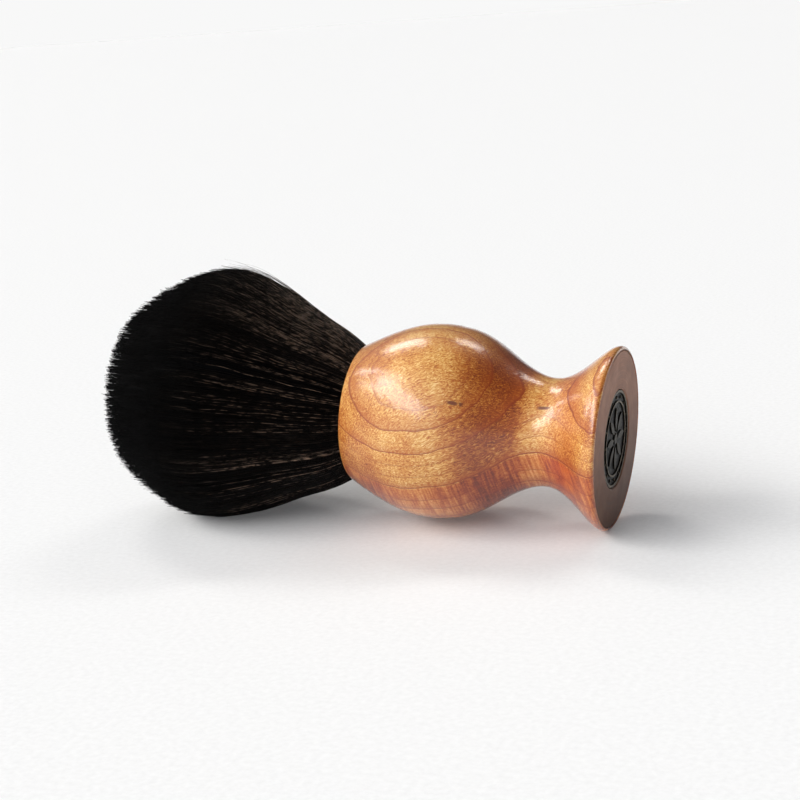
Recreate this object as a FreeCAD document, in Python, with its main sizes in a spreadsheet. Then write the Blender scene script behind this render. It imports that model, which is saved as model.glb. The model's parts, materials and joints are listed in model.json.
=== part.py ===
import FreeCAD, Part
import Sketcher
import os

# Shaving brush, lying down: a turned maple handle with a brown disc and a
# medallion in its foot, and a bundle of bristles glued into its mouth.
#
# Every sub-part is drawn upright, in millimetres: the handle's axis is +Z, the
# foot face is at height 0 and +X is the side that ends on top. One placement
# then lays them all down, on the foot's rim and the flat side of the bristles.

Vector = FreeCAD.Vector

DIMENSIONS = [
    # alias, value, meaning
    ("rest_tilt", 4.5, "degrees that the axis rises towards the bristle tips"),
    ("foot_above_table", 18.228, "foot centre above the table"),
    ("foot_from_middle", 53.078, "foot centre to the middle of the whole length"),
    # Handle outline: control points of the turned curve, foot to mouth
    ("rim_height", 0.6, "widest circle of the foot bead"),
    ("rim_radius", 18.33, "widest circle of the foot bead"),
    ("bead_height", 2.9, "point that keeps the bead round"),
    ("cove_height", 11.4, "point that pulls the waist in"),
    ("cove_radius", 5.8, "point that pulls the waist in"),
    ("shoulder_height", 26.7, "point that swells out from the waist"),
    ("shoulder_radius", 18.6, "point that swells out from the waist"),
    ("belly_low_height", 33.5, "point on the foot side of the belly"),
    ("belly_low_radius", 19.6, "point on the foot side of the belly"),
    ("belly_height", 36.5, "point over the belly"),
    ("belly_radius", 20.1, "point over the belly"),
    ("taper_height", 44.5, "point that starts the taper to the mouth"),
    ("taper_radius", 19.2, "point that starts the taper to the mouth"),
    ("mouth_height", 53.6, "mouth of the handle"),
    ("mouth_radius", 14.2, "outside of the mouth"),
    ("lip_round", 0.4, "rounding of both edges of the mouth"),
    # Foot disc and medallion
    ("disc_radius", 17.6, "foot disc"),
    ("disc_thickness", 1.5, "foot disc"),
    ("disc_edge_round", 0.4, "rounding of the foot disc's front edges"),
    ("disc_glue", 0.1, "glue under and round the foot disc"),
    ("glue_setback", 0.3, "glue's edge behind the foot face"),
    ("seat_radius", 9.85, "seat of the medallion in the foot disc"),
    ("seat_depth", 1.2, "seat of the medallion in the foot disc"),
    ("medallion_radius", 9.7, "medallion"),
    ("medallion_setback", 0.2, "top of the medallion behind the foot face"),
    ("medallion_thickness", 0.6, "medallion without its relief"),
    ("pad_thickness", 0.15, "adhesive pad under the medallion"),
    ("pad_radius", 8.5, "adhesive pad under the medallion"),
    ("relief_height", 0.25, "raised work on the medallion"),
    ("rim_ring_width", 0.5, "outer ring of the medallion"),
    ("bead_circle_radius", 8.4, "circle that the medallion's beads lie on"),
    ("medal_bead_radius", 0.4, "bead on the medallion"),
    ("bead_count", 16, "beads on the medallion"),
    ("inner_ring_radius", 7.6, "outside of the medallion's inner ring"),
    ("inner_ring_width", 0.35, "inner ring of the medallion"),
    ("petal_length", 4.7, "petal of the rosette"),
    ("petal_width", 1.5, "petal of the rosette"),
    ("petal_inset", 1.6, "start of a petal from the centre"),
    ("petal_count", 8, "petals of the rosette"),
    ("boss_radius", 1.1, "boss in the middle of the rosette"),
    # Knot
    ("socket_radius", 13.0, "bore for the knot"),
    ("socket_depth", 18.0, "bore for the knot, from the mouth"),
    ("plug_radius", 12.7, "resin plug"),
    ("plug_thickness", 8.0, "resin plug"),
    ("bed_thickness", 0.4, "adhesive under the plug"),
    ("bed_wall", 6.0, "adhesive up the side of the plug"),
    ("root_radius", 12.6, "fibres inside the socket"),
    ("thread_radius", 0.35, "half the binding thread's thickness"),
    ("thread_pitch", 0.78, "one turn of binding thread to the next"),
    ("thread_turns", 4, "turns of binding thread"),
    ("thread_start", 1.6, "first turn above the plug"),
    ("thread_groove", 0.75, "depth that the thread pulls the fibres in"),
    # Bristle outline: control points of the curve, mouth to tip
    ("flare_height", 59.1, "point that starts the flare"),
    ("flare_radius", 17.0, "point that starts the flare"),
    ("spread_height", 64.3, "point that keeps the flare straight"),
    ("spread_radius", 17.8, "point that keeps the flare straight"),
    ("bulb_height", 82.9, "point outside the widest place"),
    ("bulb_radius", 30.0, "point outside the widest place"),
    ("dome_height", 94.4, "point over the dome's side"),
    ("dome_radius", 24.5, "point over the dome's side"),
    ("crown_height", 106.2, "point at the dome's corner"),
    ("crown_radius", 17.6, "point at the dome's corner"),
    ("tip_height", 107.4, "top of the dome"),
    ("tip_radius", 11.8, "point that keeps the top flat"),
    ("low_bend", 66.0, "end of the neck of the bristles"),
    ("high_bend", 74.0, "end of the middle of the bristles"),
]

# Radius that every circle is drawn with before its cell sets it
FIRST_RADIUS = 10.0
QUARTER_TURN = 1.5708

doc = FreeCAD.newDocument("ShavingBrush")
sheet = doc.addObject("Spreadsheet::Sheet", "Dimensions")
for row, (alias, value, meaning) in enumerate(DIMENSIONS, start=1):
    sheet.set(f"A{row}", meaning)
    sheet.set(f"B{row}", str(value))
    sheet.setAlias(f"B{row}", alias)
doc.recompute()


# ---------------------------------------------------------------- sketch tools

def cell(alias):
    """The expression that reads one cell of the sheet."""
    return f"Dimensions.{alias}"


def size(alias):
    """The cell's present value, for drawing a sketch near its final shape."""
    return float(sheet.get(alias))


def new_sketch(body, name, role, height=None):
    """A sketch on an origin plane of its own body, raised to a height."""
    sketch = body.newObject("Sketcher::SketchObject", name)
    plane = [one for one in body.Origin.OriginFeatures if one.Role == role][0]
    sketch.AttachmentSupport = [(plane, "")]
    sketch.MapMode = "FlatFace"
    if height:
        sketch.setExpression("AttachmentOffset.Base.z", height)
    return sketch


def fix(sketch, kind, geometry, guess, expression):
    """A dimension of a sketch, bound to the sheet."""
    index = sketch.addConstraint(Sketcher.Constraint(kind, *geometry, guess))
    sketch.setExpression(f"Constraints[{index}]", expression)


def fix_point(sketch, point, radius, height):
    """Ties a point of an upright outline to its radius and height cells."""
    fix(sketch, "DistanceX", (-1, 1, *point), size(radius), cell(radius))
    fix(sketch, "DistanceY", (-1, 1, *point), size(height), cell(height))


def join(sketch, *pairs):
    """Makes points meet, each pair as (geometry, end, geometry, end)."""
    for pair in pairs:
        sketch.addConstraint(Sketcher.Constraint("Coincident", *pair))


def add_line(sketch, start, end):
    """A line of an upright outline, each end as (radius, height)."""
    return sketch.addGeometry(Part.LineSegment(Vector(*start, 0), Vector(*end, 0)))


def add_circle(sketch, radius):
    """A circle round the axis."""
    circle = sketch.addGeometry(Part.Circle(Vector(), Vector(0, 0, 1), FIRST_RADIUS))
    join(sketch, (circle, 3, -1, 1))
    fix(sketch, "Radius", (circle,), FIRST_RADIUS, radius)


def add_spline(sketch, control_cells):
    """A cubic spline whose control points are (radius, height) cells.

    A radius of None puts the last control point on the axis.
    """
    poles = [Vector(size(radius) if radius else 0, size(height), 0)
             for radius, height in control_cells]
    spans = len(poles) - 3
    curve = Part.BSplineCurve()
    curve.buildFromPolesMultsKnots(
        poles, [4] + [1] * (spans - 1) + [4], [step / spans for step in range(spans + 1)],
        False, 3)
    spline = sketch.addGeometry(curve)
    sketch.exposeInternalGeometry(spline)
    for index, (radius, height) in enumerate(control_cells):
        control = spline + 1 + index
        if radius:
            fix_point(sketch, (control, 3), radius, height)
        else:
            sketch.addConstraint(Sketcher.Constraint("PointOnObject", control, 3, -2))
            fix(sketch, "DistanceY", (-1, 1, control, 3), size(height), cell(height))
    return spline


# --------------------------------------------------------------- feature tools

def new_body(label):
    """An empty body whose label names the sub-part and its file."""
    body = doc.addObject("PartDesign::Body", label)
    body.Label = label
    return body


def require_change(body, before, sign):
    """Stops where a feature has not grown (+1) or cut (-1) its body."""
    doc.recompute()
    if (body.Shape.Volume - before) * sign <= 0:
        raise RuntimeError(f"{body.Tip.Label} did not change {body.Label} as meant")


def revolve(body, sketch):
    """Turns an upright outline round the axis."""
    turned = body.newObject("PartDesign::Revolution", body.Label + "_turned")
    turned.Profile = sketch
    turned.ReferenceAxis = (sketch, ["V_Axis"])
    turned.Angle = 360
    require_change(body, 0, 1)


def pad(body, sketch, length, downwards=False):
    """Adds a sketch's area, upwards unless told otherwise."""
    before = body.Shape.Volume if body.Tip else 0
    feature = body.newObject("PartDesign::Pad", sketch.Label + "_pad")
    feature.Profile = sketch
    feature.setExpression("Length", length)
    feature.Reversed = downwards
    require_change(body, before, 1)
    return feature


def pocket(body, sketch, length, upwards=False):
    """Cuts a sketch's area away, downwards unless told otherwise."""
    before = body.Shape.Volume
    feature = body.newObject("PartDesign::Pocket", sketch.Label + "_pocket")
    feature.Profile = sketch
    feature.setExpression("Length", length)
    feature.Reversed = upwards
    require_change(body, before, -1)


def round_edges(body, height, radii, rounding):
    """Rounds the circular edges of given radii at one height."""
    edges = []
    for index, edge in enumerate(body.Shape.Edges, start=1):
        if edge.Curve.TypeId != "Part::GeomCircle":
            continue
        centre = edge.Curve.Center
        level = abs(centre.z - height) < 1e-3 and abs(centre.x) < 1e-3
        if level and min(abs(edge.Curve.Radius - radius) for radius in radii) < 1e-2:
            edges.append(f"Edge{index}")
    base = body.Tip
    fillet = body.newObject("PartDesign::Fillet", body.Label + "_rounding")
    fillet.Base = (base, edges)
    fillet.setExpression("Radius", rounding)
    body.Tip = fillet
    doc.recompute()


def polar(body, feature, count):
    """Repeats one feature round the axis."""
    before = body.Shape.Volume
    pattern = body.newObject("PartDesign::PolarPattern", feature.Label + "_ring")
    pattern.Originals = [feature]
    axis = [one for one in body.Origin.OriginFeatures if one.Role == "Z_Axis"][0]
    pattern.Axis = (axis, [""])
    pattern.Angle = 360
    pattern.setExpression("Occurrences", count)
    body.Tip = pattern
    require_change(body, before, 1)


def disc(body, name, radius, height, length):
    """A plain round piece on the axis, standing on a given height."""
    sketch = new_sketch(body, name, "XY_Plane", height)
    add_circle(sketch, radius)
    pad(body, sketch, length)


def ring(body, name, outer, inner, height, length, downwards=False):
    """A round band on the axis."""
    sketch = new_sketch(body, name, "XY_Plane", height)
    add_circle(sketch, outer)
    add_circle(sketch, inner)
    pad(body, sketch, length, downwards)


# ------------------------------------------------------------------ sub-parts

def make_handle():
    """The turned handle, with a recess in its foot and a socket in its mouth."""
    body = new_body("handle")
    outline = new_sketch(body, "handle_outline", "XZ_Plane")
    curve = add_spline(outline, [
        ("rim_radius", "rim_height"),
        ("rim_radius", "bead_height"),
        ("cove_radius", "cove_height"),
        ("shoulder_radius", "shoulder_height"),
        ("belly_low_radius", "belly_low_height"),
        ("belly_radius", "belly_height"),
        ("taper_radius", "taper_height"),
        ("mouth_radius", "mouth_height"),
    ])
    rim = size("rim_height")
    flat = size("rim_radius") - rim
    mouth = size("mouth_height")
    top = add_line(outline, (size("mouth_radius"), mouth), (0, mouth))
    axis = add_line(outline, (0, mouth), (0, 0))
    foot = add_line(outline, (0, 0), (flat, 0))
    quarter = Part.ArcOfCircle(
        Part.Circle(Vector(flat, rim, 0), Vector(0, 0, 1), rim), -QUARTER_TURN, 0)
    edge = outline.addGeometry(quarter)
    join(outline, (curve, 2, top, 1), (top, 2, axis, 1), (axis, 2, -1, 1))
    join(outline, (axis, 2, foot, 1), (foot, 2, edge, 1), (edge, 2, curve, 1))
    outline.addConstraint(Sketcher.Constraint("Horizontal", top))
    outline.addConstraint(Sketcher.Constraint("Vertical", axis))
    outline.addConstraint(Sketcher.Constraint("Horizontal", foot))
    fix(outline, "DistanceY", (-1, 1, edge, 3), rim, cell("rim_height"))
    fix(outline, "Radius", (edge,), rim, cell("rim_height"))
    revolve(body, outline)

    recess = new_sketch(body, "foot_recess", "XY_Plane")
    add_circle(recess, f"{cell('disc_radius')} + {cell('disc_glue')}")
    pocket(body, recess, f"{cell('disc_thickness')} + {cell('disc_glue')}", upwards=True)

    socket = new_sketch(body, "knot_socket", "XY_Plane", cell("mouth_height"))
    add_circle(socket, cell("socket_radius"))
    pocket(body, socket, cell("socket_depth"))
    round_edges(body, mouth, [size("mouth_radius"), size("socket_radius")], cell("lip_round"))
    return body


def make_foot_disc():
    """The brown disc let into the foot, with a seat for the medallion."""
    body = new_body("foot_disc")
    disc(body, "disc_blank", cell("disc_radius"), None, cell("disc_thickness"))
    seat = new_sketch(body, "medallion_seat", "XY_Plane")
    add_circle(seat, cell("seat_radius"))
    pocket(body, seat, cell("seat_depth"), upwards=True)
    round_edges(body, 0, [size("disc_radius"), size("seat_radius")], cell("disc_edge_round"))
    return body


def make_foot_disc_adhesive():
    """The glue that holds the foot disc: a shallow cup round its edge and back."""
    body = new_body("foot_disc_adhesive")
    length = f"{cell('disc_thickness')} + {cell('disc_glue')} - {cell('glue_setback')}"
    radius = f"{cell('disc_radius')} + {cell('disc_glue')}"
    disc(body, "glue_blank", radius, cell("glue_setback"), length)
    hollow = new_sketch(body, "glue_hollow", "XY_Plane", cell("glue_setback"))
    add_circle(hollow, cell("disc_radius"))
    pocket(body, hollow, f"{cell('disc_thickness')} - {cell('glue_setback')}", upwards=True)
    return body


def add_petal(body, level):
    """A pointed petal of the medallion's rosette, then the whole rosette."""
    sketch = new_sketch(body, "petal", "XY_Plane", level)
    start = size("petal_inset")
    end = start + size("petal_length")
    half_width = size("petal_width") / 2
    arcs = []
    for side in (half_width, -half_width):
        middle = Vector((start + end) / 2, side, 0)
        arc = Part.Arc(Vector(start, 0, 0), middle, Vector(end, 0, 0))
        arcs.append(sketch.addGeometry(arc))
    first, second = arcs
    # The upper arc runs clockwise, so the sketch stores its ends swapped.
    join(sketch, (first, 2, second, 1), (first, 1, second, 2))
    fix(sketch, "DistanceX", (-1, 1, first, 2), start, cell("petal_inset"))
    fix(sketch, "DistanceX", (first, 2, first, 1), end - start, cell("petal_length"))
    sketch.addConstraint(Sketcher.Constraint("PointOnObject", first, 1, -1))
    sketch.addConstraint(Sketcher.Constraint("PointOnObject", first, 2, -1))
    bulge = f"({cell('petal_length')}^2 + {cell('petal_width')}^2) / 4 / {cell('petal_width')}"
    radius = ((end - start) ** 2 + 4 * half_width ** 2) / 8 / half_width
    fix(sketch, "Radius", (first,), radius, bulge)
    fix(sketch, "Radius", (second,), radius, bulge)
    petal = pad(body, sketch, cell("relief_height"), downwards=True)
    polar(body, petal, cell("petal_count"))


def make_medallion():
    """A coin with a raised rim, a ring of beads, an inner ring and a rosette."""
    body = new_body("medallion")
    relief = cell("relief_height")
    level = f"{cell('medallion_setback')} + {relief}"
    rim = cell("medallion_radius")
    disc(body, "coin", rim, level, cell("medallion_thickness"))
    ring(body, "coin_rim", rim, f"{rim} - {cell('rim_ring_width')}", level, relief, True)
    inner = cell("inner_ring_radius")
    ring(body, "inner_ring", inner, f"{inner} - {cell('inner_ring_width')}",
         level, relief, True)
    boss = new_sketch(body, "boss", "XY_Plane", level)
    add_circle(boss, cell("boss_radius"))
    pad(body, boss, relief, downwards=True)
    before = body.Shape.Volume
    bead = body.newObject("PartDesign::AdditiveSphere", "medal_bead")
    plane = [one for one in body.Origin.OriginFeatures if one.Role == "XY_Plane"][0]
    bead.AttachmentSupport = [(plane, "")]
    bead.MapMode = "FlatFace"
    bead.setExpression("AttachmentOffset.Base.x", cell("bead_circle_radius"))
    bead.setExpression("AttachmentOffset.Base.z",
                       f"{cell('medallion_setback')} + {cell('medal_bead_radius')}")
    bead.setExpression("Radius", cell("medal_bead_radius"))
    require_change(body, before, 1)
    polar(body, bead, cell("bead_count"))
    add_petal(body, level)
    return body


def make_medallion_adhesive():
    """The pad between the medallion and its seat."""
    body = new_body("medallion_adhesive")
    floor = f"{cell('seat_depth')} - {cell('pad_thickness')}"
    disc(body, "adhesive_pad", cell("pad_radius"), floor, cell("pad_thickness"))
    return body


SOCKET_FLOOR = f"{cell('mouth_height')} - {cell('socket_depth')}"
PLUG_FLOOR = f"{SOCKET_FLOOR} + {cell('bed_thickness')}"
PLUG_TOP = f"{PLUG_FLOOR} + {cell('plug_thickness')}"


def make_knot_adhesive():
    """The adhesive under the plug and up its side."""
    body = new_body("knot_adhesive")
    length = f"{cell('bed_thickness')} + {cell('bed_wall')}"
    disc(body, "bed", cell("socket_radius"), SOCKET_FLOOR, length)
    hollow = new_sketch(body, "bed_hollow", "XY_Plane", f"{SOCKET_FLOOR} + {length}")
    add_circle(hollow, cell("plug_radius"))
    pocket(body, hollow, cell("bed_wall"))
    return body


def make_knot_plug():
    """The resin plug that the fibres are set in."""
    body = new_body("knot_plug")
    disc(body, "plug", cell("plug_radius"), PLUG_FLOOR, cell("plug_thickness"))
    return body


def make_bristle_root():
    """The straight fibres between the plug and the mouth, tied in by thread."""
    body = new_body("bristle_root")
    disc(body, "root", cell("root_radius"), PLUG_TOP, f"{cell('mouth_height')} - ({PLUG_TOP})")
    tie = new_sketch(body, "tie", "XY_Plane", f"{PLUG_TOP} + {cell('thread_start')}"
                     f" - {cell('thread_pitch')}")
    add_circle(tie, cell("socket_radius"))
    add_circle(tie, f"{cell('root_radius')} - {cell('thread_groove')}")
    pocket(body, tie, f"({cell('thread_turns')} + 2) * {cell('thread_pitch')}", upwards=True)
    return body


def make_binding_thread():
    """The thread that ties the fibres, wound in a close helix."""
    body = new_body("binding_thread")
    sketch = new_sketch(body, "thread_section", "XZ_Plane")
    half = size("thread_radius")
    across = size("root_radius") - half
    level = size("mouth_height") - half
    centre = Vector(across, level, 0)
    section = sketch.addGeometry(Part.Circle(centre, Vector(0, 0, 1), half))
    fix(sketch, "DistanceX", (-1, 1, section, 3), across,
        f"{cell('root_radius')} - {cell('thread_radius')}")
    fix(sketch, "DistanceY", (-1, 1, section, 3), level, f"{PLUG_TOP} + {cell('thread_start')}")
    fix(sketch, "Radius", (section,), half, cell("thread_radius"))
    helix = body.newObject("PartDesign::AdditiveHelix", "thread_winding")
    helix.Profile = sketch
    helix.ReferenceAxis = (sketch, ["V_Axis"])
    helix.Mode = "pitch-turns-angle"
    helix.setExpression("Pitch", cell("thread_pitch"))
    helix.setExpression("Turns", cell("thread_turns"))
    require_change(body, 0, 1)
    return body


def make_bristle_bundle():
    """The free bristles in one piece, with the flat side that they lie on."""
    body = new_body("bristle_bundle")
    outline = new_sketch(body, "bundle_outline", "XZ_Plane")
    curve = add_spline(outline, [
        ("root_radius", "mouth_height"),
        ("flare_radius", "flare_height"),
        ("spread_radius", "spread_height"),
        ("bulb_radius", "bulb_height"),
        ("dome_radius", "dome_height"),
        ("crown_radius", "crown_height"),
        ("tip_radius", "tip_height"),
        (None, "tip_height"),
    ])
    mouth = size("mouth_height")
    axis = add_line(outline, (0, size("tip_height")), (0, mouth))
    base = add_line(outline, (0, mouth), (size("root_radius"), mouth))
    join(outline, (curve, 2, axis, 1), (axis, 2, base, 1), (base, 2, curve, 1))
    outline.addConstraint(Sketcher.Constraint("Vertical", axis))
    outline.addConstraint(Sketcher.Constraint("Horizontal", base))
    revolve(body, outline)
    return body


def lay_down(part):
    """Turns a sub-part from upright to lying, foot towards +X."""
    part.Placement = FreeCAD.Placement(Vector(), FreeCAD.Rotation(Vector(0, -1, 0), 90))
    part.setExpression("Placement.Rotation.Angle", f"90 - {cell('rest_tilt')}")
    part.setExpression("Placement.Base.x", cell("foot_from_middle"))
    part.setExpression("Placement.Base.z", cell("foot_above_table"))


def cut_length(bundle, label, low, high):
    """The stretch of the bristles between two heights."""
    slab = doc.addObject("Part::Cylinder", label + "_slab")
    slab.setExpression("Radius", cell("bulb_radius"))
    slab.setExpression("Height", f"{cell(high)} - {cell(low)}")
    slab.setExpression("Placement.Base.z", cell(low))
    stretch = doc.addObject("Part::Common", label)
    stretch.Label = label
    stretch.Base = bundle
    stretch.Tool = slab
    lay_down(stretch)
    return stretch


def flatten(stretch, label):
    """Takes off what would reach below the table that the brush lies on."""
    table = doc.addObject("Part::Box", "table_block")
    table.setExpression("Length", f"2 * {cell('tip_height')}")
    table.setExpression("Width", f"4 * {cell('bulb_radius')}")
    table.setExpression("Height", cell("bulb_radius"))
    table.setExpression("Placement.Base.x", "-Length / 2")
    table.setExpression("Placement.Base.y", "-Width / 2")
    table.setExpression("Placement.Base.z", "-Height")
    flat = doc.addObject("Part::Cut", label)
    flat.Label = label
    flat.Base = stretch
    flat.Tool = table
    return flat


# ------------------------------------------------------------------- assembly

bodies = [
    make_handle(),
    make_foot_disc(),
    make_foot_disc_adhesive(),
    make_medallion(),
    make_medallion_adhesive(),
    make_knot_adhesive(),
    make_knot_plug(),
    make_bristle_root(),
    make_binding_thread(),
]
for body in bodies:
    lay_down(body)

bundle = make_bristle_bundle()
neck = cut_length(bundle, "bristle_neck", "mouth_height", "low_bend")
middle = cut_length(bundle, "bristle_middle", "low_bend", "high_bend")
round_head = cut_length(bundle, "round_head", "high_bend", "tip_height")
head = flatten(round_head, "bristle_head")
doc.recompute()

nodes = bodies + [neck, middle, head]
for item in doc.Objects:
    if "Invalid" in item.State or "Error" in item.State:
        raise RuntimeError(f"{item.Label} failed to compute: {item.State}")
for node in nodes:
    if node.Shape.isNull() or not node.Shape.isValid() or len(node.Shape.Solids) != 1:
        raise RuntimeError(f"{node.Label} is not one valid solid")

os.makedirs("parts", exist_ok=True)
for node in nodes:
    node.Shape.exportStep(f"parts/{node.Label}.step")
    print(f"{node.Label:20s} {node.Shape.Volume / 1000:8.3f} cm3")

whole = Part.makeCompound([node.Shape for node in nodes]).optimalBoundingBox()
print(f"box X {whole.XMin:.3f} to {whole.XMax:.3f}")
print(f"box Y {whole.YMin:.3f} to {whole.YMax:.3f}")
print(f"box Z {whole.ZMin:.3f} to {whole.ZMax:.3f}")
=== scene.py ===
import json
import math

import bpy
import numpy as np
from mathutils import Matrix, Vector


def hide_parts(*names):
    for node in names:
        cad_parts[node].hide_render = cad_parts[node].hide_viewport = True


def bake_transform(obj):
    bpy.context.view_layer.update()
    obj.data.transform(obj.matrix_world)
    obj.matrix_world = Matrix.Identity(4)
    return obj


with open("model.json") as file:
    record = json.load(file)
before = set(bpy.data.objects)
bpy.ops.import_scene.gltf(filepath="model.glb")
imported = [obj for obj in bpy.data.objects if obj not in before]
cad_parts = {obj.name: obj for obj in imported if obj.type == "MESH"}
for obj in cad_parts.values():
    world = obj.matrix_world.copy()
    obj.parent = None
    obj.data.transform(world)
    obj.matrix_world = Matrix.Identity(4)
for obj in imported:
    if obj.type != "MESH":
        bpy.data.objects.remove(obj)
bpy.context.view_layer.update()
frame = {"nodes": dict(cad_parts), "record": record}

MM = 0.001
scene = bpy.context.scene

# ------------------------------------------------------------------ brush space
# The brush is turned about one axis. Its own upright space has +Z along that
# axis from the foot's middle towards the bristle tips, +X on the side that ends
# on top, and millimetres as its unit.

MOUNTS = {mount["name"]: mount for mount in frame["record"]["mounts"]}
AXIS = -Vector(MOUNTS["foot"]["axis"])
FOOT = Vector((MOUNTS["foot"]["pos_m"][0], 0, MOUNTS["foot"]["pos_m"][2]))
SIDE = Vector((0, 1, 0))
TOP = SIDE.cross(AXIS)
TURN = np.array([TOP, SIDE, AXIS], float)


def to_row(points):
    """Upright millimetres, an array of rows, to metres in the row frame."""
    return np.array(FOOT, float) + MM * (points @ TURN)


def to_upright(points):
    """Metres in the row frame, an array of rows, to upright millimetres."""
    return (points - np.array(FOOT, float)) @ TURN.T / MM


def node_points(name):
    """A CAD node's vertices in upright millimetres."""
    mesh = frame["nodes"][name].data
    flat = np.empty(len(mesh.vertices) * 3)
    mesh.vertices.foreach_get("co", flat)
    return to_upright(flat.reshape(-1, 3))


# --------------------------------------------------------------- bristle shape
# Lengths and heights are upright millimetres.

MOUTH = node_points("bristle_neck")[:, 2].min()
TIP = node_points("bristle_head")[:, 2].max()
OUTLINE_BAND = 0.4
OUTLINE_STEPS = 160


def bristle_outline():
    """Heights and radii of the bristles' round outline, from mouth to tip."""
    parts = [node_points(name)
             for name in ("bristle_neck", "bristle_middle", "bristle_head")]
    points = np.vstack(parts)
    points = points[points[:, 0] > 0]
    radii = np.hypot(points[:, 0], points[:, 1])
    band = np.round(points[:, 2] / OUTLINE_BAND).astype(int)
    order = np.lexsort((-radii, band))
    outer = order[np.unique(band[order], return_index=True)[1]]
    steps = np.linspace(MOUTH, TIP, OUTLINE_STEPS)
    reach = np.interp(steps, points[outer, 2], radii[outer])
    blur = np.hanning(9)[1:-1]
    padded = np.pad(reach, 3, mode="edge")
    smooth = np.convolve(padded, blur / blur.sum(), mode="valid")
    return steps, np.where(steps < steps[reach.argmax()], smooth, reach)


HEIGHTS, RADII = bristle_outline()
WIDEST = HEIGHTS[RADII.argmax()]
WIDEST_RADIUS = RADII.max()

# Strands are cut in two at SPLIT
SPLIT = 70.0

# How much the bundle slims and lifts where it lies on the table, and the heights
# between which the table squeezes it
SLIM, LIFT = 0.032, 1.2
DEEPEST, SOFT = -2.4, 2.6
DEEPEST_LEFT = (SOFT + DEEPEST) / 2
# How far the table pushes the tips under the bundle forwards
PUSH = 2.2

# How a lock of strands waves: the wave's length and size from least to most, how
# much they differ within a lock, and the share of the way that a lock closes up
WAVE_LENGTH = (6.0, 11.0)
WAVE_SIZE = (0.03, 0.12)
PHASE_SPREAD, SIZE_SPREAD = 0.5, 0.02
GATHER = 0.55
# How far tips stray sideways, and their mean length and spread past the dome
DRIFT = 0.55
TIP_PAST, TIP_SPREAD = 0.4, 0.3

# Strands and half their thickness; two groups each of outer and of dome strands
OUTER_COUNT, OUTER_LOCKS, OUTER_WIDTH = 2400, 260, 0.07
STRAY_COUNT, STRAY_WIDTH = 90, 0.05
DOME_COUNT, DOME_WIDTH = 8000, 0.075
# Share of the bundle's radius that outer and pale strands keep outside of, and
# how far strands of one lock lie apart, as an angle and as a share of the radius
OUTER_FROM, PALE_FROM = 0.93, 0.993
LOCK_ANGLE, LOCK_SHARE = 0.045, 0.015
# Angle and flare of the three strands that stand off most
FAR_ANGLES, FAR_FLARES = (0.05, -0.25, 0.3), (5.0, 3.6, 3.2)
# Tints run from 0, black, to 1, pale; the pale strands carry painted glints
DARKEST_PALE, BROWNEST, PALE_SHARE = 0.5, 0.3, 0.06

# How far inside the mouth strands start, and points along one, up to the split
# and past it
ROOTED = 1.0
POINTS_LOW, POINTS_HIGH = 11, 14
DOME_LENGTH = 9.0
DOME_POINTS = 5
CORE_SIDES, CORE_RINGS_LOW, CORE_RINGS_HIGH = 180, 24, 60
CORE_INSET = 0.93
CORE_BELOW_DOME = 1.3


def reach_at(height):
    """Radius of the bundle at a height, held at its widest above that."""
    return np.where(height < WIDEST, np.interp(height, HEIGHTS, RADII), WIDEST_RADIUS)


def dome_height(radius):
    """Height of the dome over a circle of a given radius."""
    above = HEIGHTS >= WIDEST
    order = np.argsort(RADII[above])
    return np.interp(radius, RADII[above][order], HEIGHTS[above][order])


def lay(upright):
    """Upright millimetres to the row frame, with the bristles resting on the table.

    The table lifts the bundle a little and rounds off what would reach into it.
    """
    share = np.clip((upright[..., 2] - MOUTH) / (WIDEST - MOUTH), 0, 1)
    eased = share * share * (3 - 2 * share)
    slimmer = 1 - SLIM * eased
    narrow = upright * np.stack([slimmer, slimmer, np.ones_like(eased)], -1)
    points = to_row(narrow)
    height = points[..., 2] / MM + LIFT * eased
    depth = np.clip(height - DEEPEST, 0, SOFT - DEEPEST)
    pressed = DEEPEST_LEFT + depth ** 2 / (2 * (SOFT - DEEPEST))
    points[..., 2] = MM * np.where(height < SOFT, pressed, height)
    return points


def new_piece(name, mesh):
    """An object in the scene that shows a mesh."""
    piece = bpy.data.objects.new(name, mesh)
    scene.collection.objects.link(piece)
    return piece


def tube_mesh(name, lines, widths, tints):
    """Three-sided open tubes along lines, an array of strand, point and coordinate."""
    strands, count, _ = lines.shape
    ahead = np.gradient(lines, axis=1)
    ahead /= np.linalg.norm(ahead, axis=2, keepdims=True) + 1e-12
    lift = np.cross(ahead, np.array(SIDE, float))
    lift /= np.linalg.norm(lift, axis=2, keepdims=True) + 1e-12
    across = np.cross(ahead, lift)
    corners = []
    for turn in (0, 2 * math.pi / 3, 4 * math.pi / 3):
        away = math.cos(turn) * lift + math.sin(turn) * across
        corners.append(lines + away * widths[:, :, None])
    points = np.stack(corners, axis=2).reshape(-1, 3)
    start = np.arange(strands)[:, None, None] * count * 3
    ring = np.arange(count - 1)[None, :, None] * 3
    side = np.arange(3)[None, None, :]
    low = start + ring + side
    low_next = start + ring + (side + 1) % 3
    quads = np.stack([low, low_next, low_next + 3, low + 3], axis=-1).reshape(-1, 4)
    mesh = bpy.data.meshes.new(name)
    mesh.vertices.add(len(points))
    mesh.vertices.foreach_set("co", points.ravel())
    mesh.loops.add(quads.size)
    mesh.loops.foreach_set("vertex_index", quads.ravel())
    mesh.polygons.add(len(quads))
    mesh.polygons.foreach_set("loop_start", np.arange(len(quads)) * 4)
    mesh.polygons.foreach_set("use_smooth", np.ones(len(quads), bool))
    mesh.update(calc_edges=True)
    tint = mesh.attributes.new("tint", "FLOAT", "POINT")
    tint.data.foreach_set("value", np.repeat(tints, count * 3).astype(np.float32))
    return new_piece(name, mesh)


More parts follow.
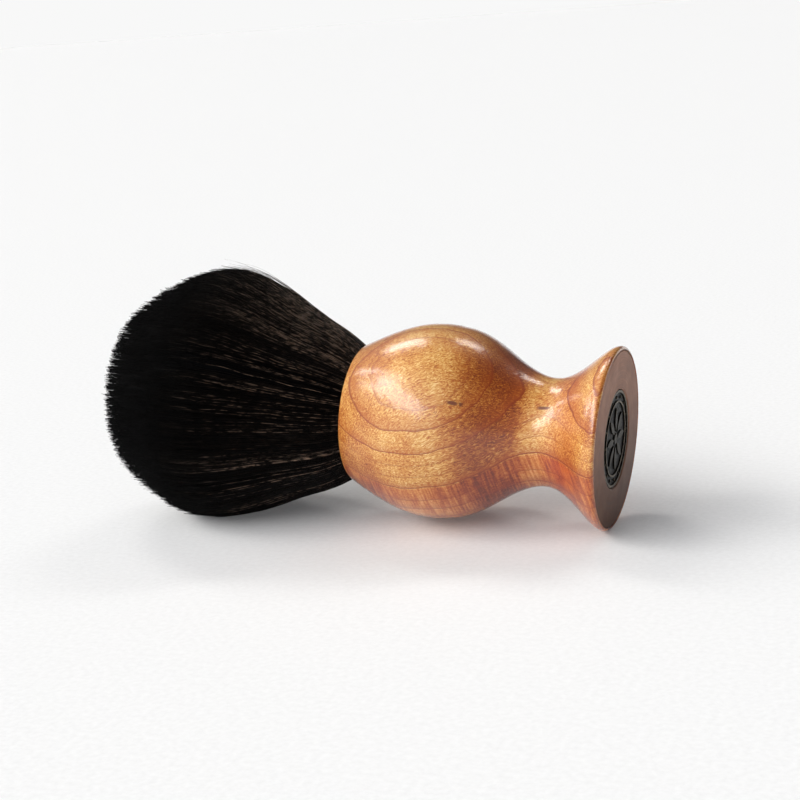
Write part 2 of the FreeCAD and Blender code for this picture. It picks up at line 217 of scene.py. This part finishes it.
def tip_height(angles, shares):
    """Where a strand ends; the table pushes those under the bundle forwards."""
    under = np.clip(-np.cos(angles), 0, 1) * np.clip((shares - 0.4) / 0.4, 0, 1)
    return dome_height(np.clip(shares, 0, 0.999) * WIDEST_RADIUS) + PUSH * under


def grow(rng, angles, shares, clump, flare=0):
    """Lines of strands in metres from inside the mouth to their tips.

    angles and shares place each strand in the bundle, clump numbers its lock
    and flare is how far each stands off the others at the widest place.
    """
    count = len(angles)
    locks = clump.max() + 1
    tips = tip_height(angles, shares) + rng.normal(TIP_PAST, TIP_SPREAD, count)
    low = np.linspace(MOUTH - ROOTED, SPLIT, POINTS_LOW)
    low = np.repeat(low[None, :], count, axis=0)
    along = np.linspace(0, 1, POINTS_HIGH)[None, 1:]
    high = SPLIT + (tips[:, None] - SPLIT) * along
    heights = np.hstack([low, high])
    grown = np.clip((heights - MOUTH) / (TIP - MOUTH), 0, 1)

    lock_angle = np.zeros(locks)
    np.add.at(lock_angle, clump, angles)
    lock_angle /= np.maximum(np.bincount(clump, minlength=locks), 1)
    turn = angles[:, None] + (lock_angle[clump] - angles)[:, None] * GATHER * grown ** 1.5

    length = rng.uniform(*WAVE_LENGTH, locks)[clump][:, None]
    phase = rng.uniform(0, 2 * math.pi, locks)[clump] + rng.normal(0, PHASE_SPREAD, count)
    size = rng.uniform(*WAVE_SIZE, locks)[clump] + rng.normal(0, SIZE_SPREAD, count)
    ease = np.clip(grown * 6, 0, 1)
    crimp = size[:, None] * ease * np.sin(2 * math.pi * heights / length + phase[:, None])
    drift = rng.normal(0, DRIFT, (count, 2))
    sideways = crimp + drift[:, :1] * grown ** 2
    outward = np.minimum(0.5 * crimp + 0.6 * drift[:, 1:] * grown ** 2, 0.5)
    radius = shares[:, None] * reach_at(heights) + outward
    radius = radius + np.reshape(flare, (-1, 1)) * grown ** 1.4
    cosine, sine = np.cos(turn), np.sin(turn)
    upright = np.stack([radius * cosine - sideways * sine,
                        radius * sine + sideways * cosine, heights], axis=-1)
    return lay(upright)


def locks_of(rng, count, locks, low):
    """Angles, shares of the radius and lock numbers of strands in locks."""
    lock_angle = rng.uniform(0, 2 * math.pi, locks)
    lock_share = rng.uniform(low, 1.0, locks)
    clump = rng.integers(0, locks, count)
    angles = lock_angle[clump] + rng.normal(0, LOCK_ANGLE, count)
    shares = np.clip(lock_share[clump] + rng.normal(0, LOCK_SHARE, count), low, 1.0)
    return angles, shares, clump


def taper(count, width, point_share=0.45, thinnest=0.12):
    """Half widths along a strand that thins to a point."""
    along = np.linspace(0, 1, count)[None, :]
    return width * np.clip((1 - along) / (1 - point_share), thinnest, 1) ** 0.7


def tint_of(rng, count):
    """A shade for each strand: most black, some brown, a few pale ones that carry painted
    glints.
    """
    shade = rng.uniform(0, BROWNEST, count)
    pale = rng.random(count) < PALE_SHARE
    return np.where(pale, rng.uniform(DARKEST_PALE, 1.0, count), shade)


# ------------------------------------------------------------------- materials

class Nodes:
    """Short calls that add shader nodes to one tree and wire them."""

    def __init__(self, tree):
        self.tree = tree

    def feed(self, socket, value):
        if isinstance(value, bpy.types.NodeSocket):
            self.tree.links.new(value, socket)
        else:
            socket.default_value = value

    def math(self, operation, first, second=0.0):
        node = self.tree.nodes.new("ShaderNodeMath")
        node.operation = operation
        self.feed(node.inputs[0], first)
        self.feed(node.inputs[1], second)
        return node.outputs[0]

    def plus(self, first, *others):
        for other in others:
            first = self.math("ADD", first, other)
        return first

    def times(self, first, second):
        return self.math("MULTIPLY", first, second)

    def vector(self, operation, first, second=(0, 0, 0), scale=None):
        node = self.tree.nodes.new("ShaderNodeVectorMath")
        node.operation = operation
        self.feed(node.inputs[0], first)
        self.feed(node.inputs[1], second)
        if scale is not None:
            self.feed(node.inputs[3], scale)
        return node.outputs["Value" if operation in ("DOT_PRODUCT", "LENGTH") else "Vector"]

    def combine(self, x, y, z):
        node = self.tree.nodes.new("ShaderNodeCombineXYZ")
        for socket, value in zip(node.inputs, (x, y, z)):
            self.feed(socket, value)
        return node.outputs[0]

    def split(self, vector):
        node = self.tree.nodes.new("ShaderNodeSeparateXYZ")
        self.feed(node.inputs[0], vector)
        return node.outputs

    def noise(self, vector, scale, detail=2.0, roughness=0.5):
        node = self.tree.nodes.new("ShaderNodeTexNoise")
        self.feed(node.inputs["Vector"], vector)
        node.inputs["Scale"].default_value = scale
        node.inputs["Detail"].default_value = detail
        node.inputs["Roughness"].default_value = roughness
        return node.outputs[0]

    def swing(self, value, size):
        """A value about a half, as a value about zero that is size times larger."""
        return self.times(self.math("SUBTRACT", value, 0.5), size)

    def range(self, value, low, high, out_low=0.0, out_high=1.0, smooth=True):
        node = self.tree.nodes.new("ShaderNodeMapRange")
        node.interpolation_type = "SMOOTHSTEP" if smooth else "LINEAR"
        node.clamp = True
        for socket, item in zip(node.inputs, (value, low, high, out_low, out_high)):
            self.feed(socket, item)
        return node.outputs[0]

    def hump(self, value, start, full, full_end, end):
        """1 between full and full_end, 0 outside start and end."""
        return self.times(self.range(value, start, full), self.range(value, end, full_end))

    def ramp(self, value, stops):
        node = self.tree.nodes.new("ShaderNodeValToRGB")
        self.feed(node.inputs[0], value)
        elements = node.color_ramp.elements
        for element, (place, shade) in zip(elements, (stops[0], stops[-1])):
            element.position = place
            element.color = (*shade, 1)
        for place, shade in stops[1:-1]:
            elements.new(place).color = (*shade, 1)
        return node.outputs[0]

    def mix(self, factor, first, second, blend="MIX"):
        node = self.tree.nodes.new("ShaderNodeMix")
        node.data_type = "RGBA"
        node.blend_type = blend
        self.feed(node.inputs["Factor"], factor)
        self.feed(node.inputs[6], first)
        self.feed(node.inputs[7], second)
        return node.outputs[2]

    def bump(self, height, strength, distance):
        node = self.tree.nodes.new("ShaderNodeBump")
        self.feed(node.inputs["Height"], height)
        node.inputs["Strength"].default_value = strength
        node.inputs["Distance"].default_value = distance
        return node.outputs[0]

    def upright(self):
        """The shaded point in the brush's upright millimetres."""
        place = self.tree.nodes.new("ShaderNodeTexCoord").outputs["Object"]
        offset = self.vector("SUBTRACT", place, tuple(FOOT))
        parts = [self.vector("DOT_PRODUCT", offset, tuple(way / MM))
                 for way in (TOP, SIDE, AXIS)]
        return self.combine(*parts)

    def attribute(self, name):
        node = self.tree.nodes.new("ShaderNodeAttribute")
        node.attribute_name = name
        return node.outputs["Fac"]


def linear(red, green, blue):
    """An sRGB colour of 0 to 255 as linear numbers."""
    values = []
    for part in (red, green, blue):
        part /= 255
        values.append(part / 12.92 if part <= 0.04045 else ((part + 0.055) / 1.055) ** 2.4)
    return tuple(values)


def colour(red, green, blue):
    """The same with alpha, for a colour socket."""
    return (*linear(red, green, blue), 1)


def new_material(name):
    """A material, the short calls for its node tree, and its shader's inputs."""
    material = bpy.data.materials.new(name)
    material.use_nodes = True
    tree = material.node_tree
    return material, Nodes(tree), tree.nodes["Principled BSDF"].inputs


# The tree that the blank was cut from: its pith runs past the brush at a slant
PITH = Vector((63.5, -54.6, 30.0))
PITH_WAY = Vector((-0.41, -0.40, 1.0)).normalized()
ROUND_WAY = PITH_WAY.cross(PITH_WAY.cross(Vector((0, 0, 1)))).normalized()
# Distance of each growth ring from the pith, in mm, and how dark its edge is
RINGS = [(66.2, 0.35), (68.75, 0.75), (70.7, 0.15), (72.5, 0.85), (74.8, 0.3), (77.2, 0.3),
         (79.85, 1.0), (83.6, 0.5), (87.0, 0.7), (91.5, 0.6), (96.0, 0.7), (101.0, 0.7)]
# Width in mm and darkness of a ring's late wood and of its edge
LATE_WIDTH, LATE_DARK = 2.2, 0.6
EDGE_WIDTH, EDGE_DARK = 0.34, 0.95
# The curled wood starts at the darkest ring and covers the side away from the pith, low and
# at the back, where painted shade also darkens it
CURLED_SHADED_FROM = (79.7, 80.4)
# Heights in mm between which the wood is darker or paler, and by how much: painted shade on
# the belly's side towards the foot, painted light on the waist and on the belly's side
# towards the bristles
PAINTED_LIGHT_AND_SHADE = [
    (15.5, 19.5, 20.5, 30.0, -0.30),
    (9.0, 12.5, 15.0, 18.5, 0.16),
    (24.5, 34.0, 39.0, 47.0, 0.17),
]
# Small scars in the surface, in upright mm: middle, direction, half length, half width
SCARS = [
    (Vector((8.4, -15.9, 26.9)), Vector((0.35, 0.1, -0.9)), 0.75, 0.62),
    (Vector((8.5, -16.3, 28.6)), Vector((-0.02, 0.0, 1.0)), 1.9, 0.55),
    (Vector((7.0, -8.2, 12.4)), Vector((0.05, 0.0, -1.0)), 1.9, 0.50),
]
# Bump distances in metres
GRAIN_DEPTH = 0.00006
METAL_DEPTH = 0.00003
CAST_DEPTH = 0.00004
PAPER_DEPTH = 0.0001


def grain_axes(n, place):
    """A point's way along the pith, round it and out from it, in mm."""
    offset = n.vector("SUBTRACT", place, tuple(PITH))
    along = n.vector("DOT_PRODUCT", offset, tuple(PITH_WAY))
    axial = n.vector("SCALE", tuple(PITH_WAY), scale=along)
    distance = n.vector("LENGTH", n.vector("SUBTRACT", offset, axial))
    around = n.vector("DOT_PRODUCT", offset, tuple(ROUND_WAY))
    return along, around, distance


def ring_shades(n, distance):
    """How far each ring's late wood and its edge darken a point."""
    late, edge = 0.0, 0.0
    for place, dark in RINGS:
        before = n.math("LESS_THAN", distance, place)
        rise = n.range(distance, place - LATE_WIDTH, place, 0.0, LATE_DARK * dark)
        line = n.range(distance, place - EDGE_WIDTH, place - 0.3 * EDGE_WIDTH,
                       0.0, EDGE_DARK * dark)
        late = n.math("MAXIMUM", late, n.times(rise, before))
        edge = n.math("MAXIMUM", edge, n.times(line, before))
    return late, edge


def scar(n, place, centre, way, half_length, half_width):
    """1 along a short dark line in the surface, 0 elsewhere."""
    way = way.normalized()
    offset = n.vector("SUBTRACT", place, tuple(centre))
    along = n.vector("DOT_PRODUCT", offset, tuple(way))
    beside = n.vector("SUBTRACT", offset, n.vector("SCALE", tuple(way), scale=along))
    inside = n.range(n.vector("LENGTH", beside), half_width, half_width * 0.5)
    within = n.range(n.math("ABSOLUTE", along), half_length, half_length * 0.5)
    return n.times(n.times(inside, within), 0.95)


def make_maple():
    """Lacquered curly maple: growth rings, flecks, cross figure and small scars, with
    painted light and shade in bands along its height and on its lower side.
    """
    material, n, shader = new_material("lacquered_maple")
    place = n.upright()
    height = n.split(place)[2]
    along, around, distance = grain_axes(n, place)
    ripple = n.math("SUBTRACT", n.noise(place, 0.75), 0.5)
    wave = n.plus(n.swing(n.noise(place, 0.11), 1.7), n.times(ripple, 0.28))
    distance = n.plus(distance, wave)
    late, edge = ring_shades(n, distance)
    curled_shaded_side = n.range(distance, *CURLED_SHADED_FROM)

    # Flecks are long along the grain and thin across it
    swerve = n.times(ripple, 0.9)
    grain = n.combine(n.times(along, 0.95), n.times(n.plus(around, swerve), 4.5),
                      n.times(n.plus(distance, swerve), 5.2))
    coarse = n.noise(grain, 1.0, 2.0, 0.55)
    fine = n.noise(grain, 2.3, 1.0, 0.5)
    fleck = n.plus(n.times(coarse, 0.75), n.times(fine, 0.25))
    # The curl is short along the grain and wide across it
    stripes = n.combine(n.times(along, 1.9), n.times(around, 0.16), n.times(distance, 0.16))
    curl = n.noise(stripes, 1.0, 2.0, 0.6)
    cloud = n.noise(place, 0.10, 2.0, 0.55)

    tone = n.plus(n.swing(fleck, n.range(curled_shaded_side, 0.0, 1.0, 1.9, 1.0)),
                  n.swing(curl, n.range(curled_shaded_side, 0.0, 1.0, 0.2, 1.3)),
                  0.5, n.swing(cloud, 0.7))
    # Painted light and shade in bands along the height
    for *heights, amount in PAINTED_LIGHT_AND_SHADE:
        tone = n.plus(tone, n.times(n.hump(height, *heights), amount))
    body = n.ramp(tone, [
        (0.0, linear(104, 36, 4)),
        (0.28, linear(145, 68, 13)),
        (0.5, linear(186, 113, 40)),
        (0.75, linear(212, 164, 88)),
        (1.0, linear(236, 206, 148)),
    ])
    body = n.mix(late, body, colour(160, 74, 12))
    body = n.mix(edge, body, colour(130, 46, 2))
    # The cove near the foot is multiplied darker and more orange; the same multiply on the
    # curled side, low and at the back, is painted shade
    cove = n.hump(height, 3.2, 6.0, 7.5, 14.0)
    warm = n.plus(n.times(cove, 0.35), n.times(curled_shaded_side, 0.65))
    body = n.mix(warm, body, colour(230, 150, 80), "MULTIPLY")
    for mark in SCARS:
        body = n.mix(scar(n, place, *mark), body, colour(104, 46, 16))

    n.feed(shader["Base Color"], body)
    n.feed(shader["Roughness"], n.range(fleck, 0.35, 0.65, 0.50, 0.40))
    n.feed(shader["Normal"], n.bump(fleck, 0.4, GRAIN_DEPTH))
    relief = n.plus(n.times(fleck, 0.5), n.times(ripple, 1.5))
    n.feed(shader["Coat Normal"], n.bump(relief, 0.7, GRAIN_DEPTH))
    shader["Specular IOR Level"].default_value = 0.5
    shader["Coat Weight"].default_value = 1.0
    shader["Coat Roughness"].default_value = 0.10
    shader["Coat IOR"].default_value = 1.45
    return material


def make_disc_finish():
    """Satin brown foot disc with fine turning lines, with painted shade: paler on top,
    darker towards the bottom.
    """
    material, n, shader = new_material("satin_brown_disc")
    place = n.upright()
    x, y, _ = n.split(place)
    radius = n.vector("LENGTH", n.combine(x, y, 0.0))
    lines = n.combine(n.times(radius, 7.0), n.times(x, 0.12), n.times(y, 0.12))
    turned = n.noise(lines, 1.0, 3.0, 0.65)
    cloud = n.noise(place, 0.22, 3.0, 0.6)
    shade = n.plus(n.times(turned, 0.6), n.times(cloud, 0.4))
    body = n.ramp(n.range(shade, 0.3, 0.7, smooth=False), [
        (0.0, linear(104, 70, 54)),
        (0.5, linear(132, 94, 76)),
        (1.0, linear(158, 120, 100)),
    ])
    # Painted shade: the colour is multiplied darker towards the disc's lower side and paler
    # towards its top
    painted_shade = n.range(x, -17.0, 17.0, 0.55, 1.5)
    body = n.mix(1.0, body, n.combine(painted_shade, painted_shade, painted_shade), "MULTIPLY")
    n.feed(shader["Base Color"], body)
    n.feed(shader["Roughness"], n.range(turned, 0.3, 0.7, 0.42, 0.56))
    n.feed(shader["Normal"], n.bump(turned, 0.25, METAL_DEPTH))
    shader["Specular IOR Level"].default_value = 0.12
    return material


def make_medallion_finish():
    """Dark antiqued metal whose raised work is rubbed back to brass."""
    material, n, shader = new_material("antiqued_medallion")
    place = n.upright()
    x, y, height = n.split(place)
    radius = n.vector("LENGTH", n.combine(x, y, 0.0))
    # The rings stand out towards the foot face and are rubbed more than the rosette
    raised = n.times(n.range(height, 0.36, 0.24), n.range(radius, 5.8, 6.8, 0.3, 1.0))
    tarnish = n.noise(place, 1.6, 4.0, 0.65)
    rubbed = n.times(raised, n.range(tarnish, 0.35, 0.65, 0.1, 0.75))
    dark = n.ramp(tarnish, [(0.3, linear(4, 3, 3)), (0.7, linear(14, 12, 11))])
    body = n.mix(rubbed, dark, colour(124, 111, 90))
    n.feed(shader["Base Color"], body)
    n.feed(shader["Roughness"], n.range(tarnish, 0.3, 0.7, 0.28, 0.46))
    n.feed(shader["Metallic"], rubbed)
    n.feed(shader["Normal"], n.bump(tarnish, 0.2, METAL_DEPTH))
    shader["Specular IOR Level"].default_value = 0.03
    return material


def make_bristle_finish():
    """Fine fibres: each strand has its own shade, the pale ones as painted glints, duller
    and blacker at its tip.
    """
    material, n, shader = new_material("black_bristles")
    x, y, height = n.split(n.upright())
    stretched = n.combine(x, y, n.times(height, 0.07))
    # Painted glints: the pale strands' colour is broken up along each strand and fades
    # towards the tips
    glint_breaks = n.range(n.noise(stretched, 1.6, 3.0, 0.65), 0.40, 0.60, 0.25, 1.0)
    tips = n.range(height, MOUTH + 8.0, 102.0, 1.0, 0.05)
    tint_and_painted_glint = n.times(n.times(n.attribute("tint"), tips), glint_breaks)
    body = n.ramp(tint_and_painted_glint, [
        (0.0, linear(2, 2, 3)),
        (0.3, linear(26, 20, 16)),
        (1.0, linear(136, 110, 90)),
    ])
    n.feed(shader["Base Color"], body)
    n.feed(shader["Roughness"], n.range(height, MOUTH, 95.0, 0.34, 0.6))
    n.feed(shader["Specular IOR Level"], n.range(tint_and_painted_glint, 0.15, 0.75, 0.04, 0.6))
    return material


def make_plain_finish(name, dark, light, roughness, scale):
    """A cast, cured or spun surface with a mottled colour."""
    material, n, shader = new_material(name)
    mottle = n.noise(n.upright(), scale, 4.0, 0.6)
    body = n.ramp(mottle, [(0.3, linear(*dark)), (0.7, linear(*light))])
    n.feed(shader["Base Color"], body)
    n.feed(shader["Roughness"], n.range(mottle, 0.3, 0.7, roughness, roughness + 0.15))
    n.feed(shader["Normal"], n.bump(mottle, 0.2, CAST_DEPTH))
    return material


def paint(node, material):
    """Gives a CAD node its finished material."""
    for one in frame["nodes"][node].material_slots:
        one.material = material


BRISTLES = make_bristle_finish()
ADHESIVE = make_plain_finish("cured_adhesive", (24, 20, 18), (52, 44, 38), 0.45, 1.2)
RESIN = make_plain_finish("cast_resin", (20, 18, 17), (44, 40, 37), 0.4, 0.6)
THREAD = make_plain_finish("waxed_thread", (150, 136, 112), (196, 182, 154), 0.6, 3.0)

paint("handle", make_maple())
paint("foot_disc", make_disc_finish())
paint("medallion", make_medallion_finish())
for node in ("foot_disc_adhesive", "medallion_adhesive", "knot_adhesive"):
    paint(node, ADHESIVE)
paint("knot_plug", RESIN)
paint("binding_thread", THREAD)
paint("bristle_root", BRISTLES)


# --------------------------------------------------------------------- bristles

def bend_low(piece):
    """Gives the bristles near the mouth their material and bakes their placement into the
    mesh.
    """
    piece.data.materials.append(BRISTLES)
    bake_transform(piece)


def bend_high(piece):
    """Gives the bristles further out their material and bakes their placement into the
    mesh.
    """
    piece.data.materials.append(BRISTLES)
    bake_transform(piece)


def two_pieces(name, lines, widths, tints):
    """Strands as a low piece and a high piece that meet at the split."""
    low = tube_mesh(f"bristles_low_{name}", lines[:, :POINTS_LOW],
                    widths[:, :POINTS_LOW], tints)
    high = tube_mesh(f"bristles_high_{name}", lines[:, POINTS_LOW - 1:],
                     widths[:, POINTS_LOW - 1:], tints)
    bend_low(low)
    bend_high(high)
    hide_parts("bristle_neck")
    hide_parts("bristle_middle", "bristle_head")


def make_outer_bristles():
    """The strands that show, in locks, with the pale ones outermost."""
    rng = np.random.default_rng(11)
    for group in ("a", "b"):
        angles, shares, clump = locks_of(rng, OUTER_COUNT, OUTER_LOCKS, OUTER_FROM)
        tints = tint_of(rng, OUTER_COUNT)
        shares = np.where(tints > BROWNEST, np.maximum(shares, PALE_FROM), shares)
        lines = grow(rng, angles, shares, clump)
        thick = rng.uniform(0.75, 1.2, (OUTER_COUNT, 1))
        widths = taper(lines.shape[1], OUTER_WIDTH * MM, thinnest=0.2) * thick
        two_pieces(group, lines, widths, tints)


def make_stray_bristles():
    """Fine strands along the top that stand off the rest, three of them far off."""
    rng = np.random.default_rng(5)
    angles = rng.normal(0, 0.5, STRAY_COUNT)
    flare = rng.uniform(0.6, 2.2, STRAY_COUNT)
    angles[:len(FAR_ANGLES)] = FAR_ANGLES
    flare[:len(FAR_FLARES)] = FAR_FLARES
    lines = grow(rng, angles, np.ones(STRAY_COUNT), np.arange(STRAY_COUNT), flare)
    thick = rng.uniform(0.7, 1.1, (STRAY_COUNT, 1))
    widths = taper(lines.shape[1], STRAY_WIDTH * MM) * thick
    two_pieces("stray", lines, widths, rng.uniform(DARKEST_PALE, 1.0, STRAY_COUNT))


def make_dome_bristles():
    """The inner strands, made where they come out at the dome."""
    rng = np.random.default_rng(23)
    along = np.linspace(0, 1, DOME_POINTS)[None, :]
    for group in ("a", "b"):
        angles = rng.uniform(0, 2 * math.pi, DOME_COUNT)
        shares = np.sqrt(rng.uniform(0, 0.99, DOME_COUNT))
        tips = tip_height(angles, shares) + rng.normal(0.35, 0.28, DOME_COUNT)
        heights = (tips - DOME_LENGTH)[:, None] + DOME_LENGTH * along
        drift = rng.normal(0, 0.35, (DOME_COUNT, 1))
        radius = shares[:, None] * reach_at(heights) + drift * along
        turn = angles[:, None] + rng.normal(0, 0.02, (DOME_COUNT, 1)) * along
        across = [radius * np.cos(turn), radius * np.sin(turn), heights]
        lines = lay(np.stack(across, axis=-1))
        thick = rng.uniform(0.8, 1.25, (DOME_COUNT, 1))
        widths = taper(DOME_POINTS, DOME_WIDTH * MM, point_share=0.2, thinnest=0.4) * thick
        tints = 0.5 * tint_of(rng, DOME_COUNT)
        piece = tube_mesh(f"bristles_dome_{group}", lines, widths, tints)
        bend_high(piece)
        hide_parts("bristle_head")


def ribbed_form(name, radius, height):
    """An open form turned about the axis, with ribs like packed strands."""
    turn = np.arange(CORE_SIDES) * 2 * math.pi / CORE_SIDES
    rib = 1 + 0.012 * np.sin(turn * 60) + 0.008 * np.sin(turn * 37 + 1.0)
    x = radius[:, None] * rib * np.cos(turn)
    y = radius[:, None] * rib * np.sin(turn)
    z = np.repeat(height[:, None], CORE_SIDES, axis=1)
    points = lay(np.stack([x, y, z], axis=-1).reshape(-1, 3))
    faces = []
    for low in range(0, (len(height) - 1) * CORE_SIDES, CORE_SIDES):
        high = low + CORE_SIDES
        for side in range(CORE_SIDES):
            after = (side + 1) % CORE_SIDES
            faces.append((low + side, low + after, high + after, high + side))
    mesh = bpy.data.meshes.new(name)
    mesh.from_pydata(points.tolist(), [], faces)
    mesh.polygons.foreach_set("use_smooth", np.ones(len(faces), bool))
    mesh.attributes.new("tint", "FLOAT", "POINT")
    return new_piece(name, mesh)


def make_core():
    """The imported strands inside, as dark forms under the others."""
    height = np.linspace(MOUTH - 0.5, SPLIT, CORE_RINGS_LOW)
    radius = CORE_INSET * np.interp(height, HEIGHTS, RADII)
    bend_low(ribbed_form("bristle_core_low", radius, height))

    # The first half of the rings rises to the widest place, the rest close the dome
    step = np.linspace(0, 2, CORE_RINGS_HIGH)
    rising = SPLIT + (WIDEST - SPLIT) * np.clip(step, 0, 1)
    over = np.clip(step - 1, 0, 1)
    dome_radius = WIDEST_RADIUS * np.cos(over * math.pi / 2)
    sides_radius = np.interp(rising, HEIGHTS, RADII)
    radius = CORE_INSET * np.where(over > 0, dome_radius, sides_radius)
    height = np.where(over > 0, dome_height(dome_radius) - CORE_BELOW_DOME, rising)
    height = np.minimum(np.maximum.accumulate(height), TIP)
    bend_high(ribbed_form("bristle_core_high", radius, height))


make_outer_bristles()
make_stray_bristles()
make_dome_bristles()
make_core()


# ------------------------------------------------------------ floor and lights

FLOOR_REACH = 12.0
# Each window of light: direction from the brush, direction of its long side, half
# its length and height as tangents of their angles, brightness
WINDOWS = [
    ((-0.52, -0.63, 0.58), (0.81, -0.86, -0.21), 0.66, 0.15, 9.8),
    ((-0.49, 0.46, 0.74), (0.85, 0.00, 0.52), 0.20, 0.09, 12.0),
    ((0.13, 0.63, 0.76), (0.32, 0.06, -0.10), 0.17, 0.065, 12.0),
    ((-0.90, 0.03, 0.43), (0.50, -0.60, 0.60), 0.09, 0.06, 14.0),
    ((-0.80, 0.14, 0.58), (0.08, -0.23, 0.16), 0.16, 0.035, 12.0),
    ((-0.95, 0.12, 0.27), (-0.10, -0.23, -0.24), 0.22, 0.09, 4.0),
    ((-0.62, -0.28, 0.72), (0.50, -0.60, 0.20), 0.24, 0.11, 5.5),
]
# Direction that the room is brightest in
ROOM_LEFT = (-0.93, -0.36, 0.0)
ROOM_STRENGTH = 0.80
WARM_WHITE = (1.0, 0.965, 0.90)
# The room's tone behind the floor's far edge, so that the edge doesn't show
FAR_WALL = (1.174, 1.174, 1.172, 1)

CAMERA_PLACE = (0.13605, -0.31525, 0.10389)
CAMERA_TURN = (76.967, 4.063, 21.206)
CAMERA_LENS = 76.5


def make_floor():
    """A pale paper floor, much larger than the brush and faintly lit through."""
    mesh = bpy.data.meshes.new("floor")
    corners = [(x * FLOOR_REACH, y * FLOOR_REACH, 0)
               for x, y in ((-1, -1), (1, -1), (1, 1), (-1, 1))]
    mesh.from_pydata(corners, [], [(0, 1, 2, 3)])
    floor = new_piece("floor", mesh)
    material, n, shader = new_material("pale_paper")
    place = n.tree.nodes.new("ShaderNodeTexCoord").outputs["Object"]
    fibre = n.noise(place, 900.0, 3.0, 0.6)
    body = n.ramp(fibre, [(0.3, linear(220, 222, 225)), (0.7, linear(228, 230, 233))])
    n.feed(shader["Base Color"], body)
    n.feed(shader["Normal"], n.bump(fibre, 0.15, PAPER_DEPTH))
    shader["Roughness"].default_value = 0.75
    shader["Specular IOR Level"].default_value = 0.2
    shader["Emission Color"].default_value = (1.0, 1.0, 1.0, 1)
    shader["Emission Strength"].default_value = 0.07
    mesh.materials.append(material)


def window(n, way, centre, long_way, half_length, half_height, strength):
    """Brightness of one soft-edged rectangular window in the surroundings."""
    centre = Vector(centre).normalized()
    across = Vector(long_way)
    across = (across - centre * across.dot(centre)).normalized()
    up = centre.cross(across)
    facing = n.vector("DOT_PRODUCT", way, tuple(centre))
    inside = n.range(facing, 0.0, 0.1)
    for side, half in ((across, half_length), (up, half_height)):
        place = n.math("ABSOLUTE", n.vector("DOT_PRODUCT", way, tuple(side)))
        place = n.math("DIVIDE", place, n.math("MAXIMUM", facing, 0.05))
        inside = n.times(inside, n.range(place, half * 1.15, half * 0.85))
    return n.times(inside, strength)


def make_world():
    """A pale room, brighter on the left and in front, with windows of warm light."""
    world = bpy.data.worlds.new("studio")
    scene.world = world
    world.use_nodes = True
    n = Nodes(world.node_tree)
    way = n.tree.nodes.new("ShaderNodeTexCoord").outputs["Generated"]
    _, y, z = n.split(way)
    tone = n.ramp(n.range(z, -0.1, 0.9, smooth=False), [
        (0.0, (0.60, 0.61, 0.63)),
        (0.12, (0.60, 0.61, 0.63)),
        (0.30, (0.35, 0.36, 0.39)),
        (1.0, (0.40, 0.41, 0.44)),
    ])
    left = n.vector("DOT_PRODUCT", way, ROOM_LEFT)
    side = n.times(n.range(left, -0.6, 0.6, 0.32, 1.55), n.range(y, 0.2, -0.8, 0.42, 2.0))
    tone = n.vector("SCALE", tone, scale=side)
    far = n.times(n.range(z, 0.14, 0.06), n.range(y, 0.2, 0.5))
    tone = n.mix(far, tone, FAR_WALL)
    light = n.plus(*[window(n, way, *one) for one in WINDOWS])
    tone = n.vector("ADD", tone, n.vector("SCALE", WARM_WHITE, scale=light))
    background = n.tree.nodes["Background"].inputs
    n.feed(background["Color"], tone)
    background["Strength"].default_value = ROOM_STRENGTH


def make_camera():
    """The camera, in front of the brush, to its right and a little above it."""
    data = bpy.data.cameras.new("camera")
    data.lens = CAMERA_LENS
    data.sensor_width = 36.0
    camera = bpy.data.objects.new("camera", data)
    camera.location = CAMERA_PLACE
    camera.rotation_euler = [math.radians(angle) for angle in CAMERA_TURN]
    scene.collection.objects.link(camera)
    bpy.context.scene.camera = camera


make_floor()
make_world()
make_camera()
scene.view_settings.view_transform = "Standard"
